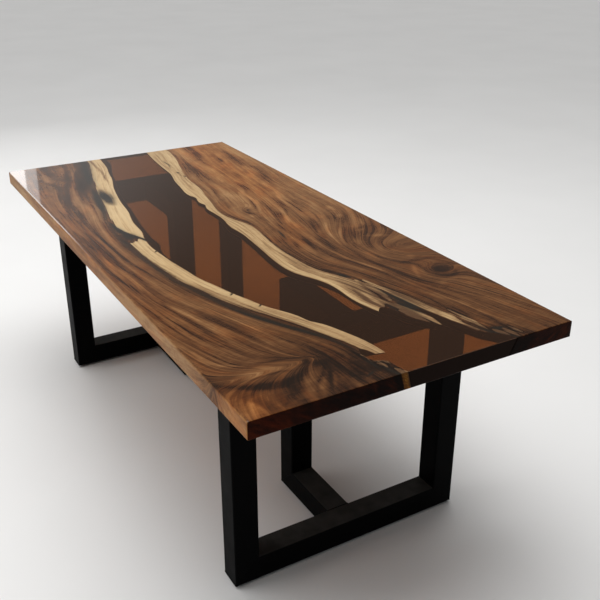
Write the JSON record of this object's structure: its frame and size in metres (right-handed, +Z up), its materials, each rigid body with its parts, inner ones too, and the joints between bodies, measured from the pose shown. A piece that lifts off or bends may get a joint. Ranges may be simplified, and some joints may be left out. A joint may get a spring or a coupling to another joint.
{
  "type": "epoxy resin dining table",
  "caption": "Rectangular dining table with live-edge wood slabs on both sides of a clear brown resin river, on black welded square-tube T bases with levelling feet.",
  "frame": {"origin": "on the floor under the middle of the top", "axes": "+X along the table towards its right base, +Y across it towards the back slab, +Z up"},
  "size_m": [2.1, 0.95, 0.75],
  "materials": {
    "walnut": "walnut heartwood with pale sapwood edges under clear gloss lacquer",
    "resin": "clear brown cast epoxy, polished",
    "black_steel": "satin black powder coat",
    "zinc_steel": "zinc plated",
    "insert_brass": "machined",
    "pad_plastic": "moulded black nylon"
  },
  "bodies": {
    "table": {"slab_front": "walnut", "slab_back": "walnut", "resin_river": "resin", "right_bottom_bar": "black_steel", "right_top_bar": "black_steel", "right_front_leg": "black_steel", "right_back_leg": "black_steel", "right_centre_leg": "black_steel", "right_bottom_rail": "black_steel", "right_top_rail": "black_steel", "right_threaded_inserts": "insert_brass", "right_top_washers": "zinc_steel", "right_top_bolts": "zinc_steel", "right_foot_nuts": "zinc_steel", "left_bottom_bar": "black_steel", "left_top_bar": "black_steel", "left_front_leg": "black_steel", "left_back_leg": "black_steel", "left_centre_leg": "black_steel", "left_bottom_rail": "black_steel", "left_top_rail": "black_steel", "left_threaded_inserts": "insert_brass", "left_top_washers": "zinc_steel", "left_top_bolts": "zinc_steel", "left_foot_nuts": "zinc_steel"},
    "right_front_foot_pad": {"right_front_foot_pad": "pad_plastic"},
    "right_front_foot_stem": {"right_front_foot_stem": "zinc_steel"},
    "right_back_foot_pad": {"right_back_foot_pad": "pad_plastic"},
    "right_back_foot_stem": {"right_back_foot_stem": "zinc_steel"},
    "right_centre_foot_pad": {"right_centre_foot_pad": "pad_plastic"},
    "right_centre_foot_stem": {"right_centre_foot_stem": "zinc_steel"},
    "left_front_foot_pad": {"left_front_foot_pad": "pad_plastic"},
    "left_front_foot_stem": {"left_front_foot_stem": "zinc_steel"},
    "left_back_foot_pad": {"left_back_foot_pad": "pad_plastic"},
    "left_back_foot_stem": {"left_back_foot_stem": "zinc_steel"},
    "left_centre_foot_pad": {"left_centre_foot_pad": "pad_plastic"},
    "left_centre_foot_stem": {"left_centre_foot_stem": "zinc_steel"}
  },
  "joints": [
    {"name": "right_front_foot_height", "type": "slide", "parent": "table", "child": "right_front_foot_pad", "axis": [0, 0, -1], "range_m": [-0.00075, 0.012]},
    {"name": "right_front_foot_screw", "type": "hinge", "parent": "right_front_foot_pad", "child": "right_front_foot_stem", "pos_m": [0.7205, -0.325, 0.02], "axis": [0, 0, -1], "range_deg": [-181, 2881]},
    {"name": "right_back_foot_height", "type": "slide", "parent": "table", "child": "right_back_foot_pad", "axis": [0, 0, -1], "range_m": [-0.00075, 0.012]},
    {"name": "right_back_foot_screw", "type": "hinge", "parent": "right_back_foot_pad", "child": "right_back_foot_stem", "pos_m": [0.7205, 0.325, 0.02], "axis": [0, 0, -1], "range_deg": [-181, 2881]},
    {"name": "right_centre_foot_height", "type": "slide", "parent": "table", "child": "right_centre_foot_pad", "axis": [0, 0, -1], "range_m": [-0.00075, 0.012]},
    {"name": "right_centre_foot_screw", "type": "hinge", "parent": "right_centre_foot_pad", "child": "right_centre_foot_stem", "pos_m": [0.4355, 0, 0.02], "axis": [0, 0, -1], "range_deg": [-181, 2881]},
    {"name": "left_front_foot_height", "type": "slide", "parent": "table", "child": "left_front_foot_pad", "axis": [0, 0, -1], "range_m": [-0.00075, 0.012]},
    {"name": "left_front_foot_screw", "type": "hinge", "parent": "left_front_foot_pad", "child": "left_front_foot_stem", "pos_m": [-0.7205, -0.325, 0.02], "axis": [0, 0, -1], "range_deg": [-181, 2881]},
    {"name": "left_back_foot_height", "type": "slide", "parent": "table", "child": "left_back_foot_pad", "axis": [0, 0, -1], "range_m": [-0.00075, 0.012]},
    {"name": "left_back_foot_screw", "type": "hinge", "parent": "left_back_foot_pad", "child": "left_back_foot_stem", "pos_m": [-0.7205, 0.325, 0.02], "axis": [0, 0, -1], "range_deg": [-181, 2881]},
    {"name": "left_centre_foot_height", "type": "slide", "parent": "table", "child": "left_centre_foot_pad", "axis": [0, 0, -1], "range_m": [-0.00075, 0.012]},
    {"name": "left_centre_foot_screw", "type": "hinge", "parent": "left_centre_foot_pad", "child": "left_centre_foot_stem", "pos_m": [-0.4355, 0, 0.02], "axis": [0, 0, -1], "range_deg": [-181, 2881]}
  ],
  "couplings": [
    {"joint": "right_front_foot_screw", "follows": "right_front_foot_height", "rad_per_m": 4188.8},
    {"joint": "right_back_foot_screw", "follows": "right_back_foot_height", "rad_per_m": 4188.8},
    {"joint": "right_centre_foot_screw", "follows": "right_centre_foot_height", "rad_per_m": 4188.8},
    {"joint": "left_front_foot_screw", "follows": "left_front_foot_height", "rad_per_m": 4188.8},
    {"joint": "left_back_foot_screw", "follows": "left_back_foot_height", "rad_per_m": 4188.8},
    {"joint": "left_centre_foot_screw", "follows": "left_centre_foot_height", "rad_per_m": 4188.8}
  ]
}
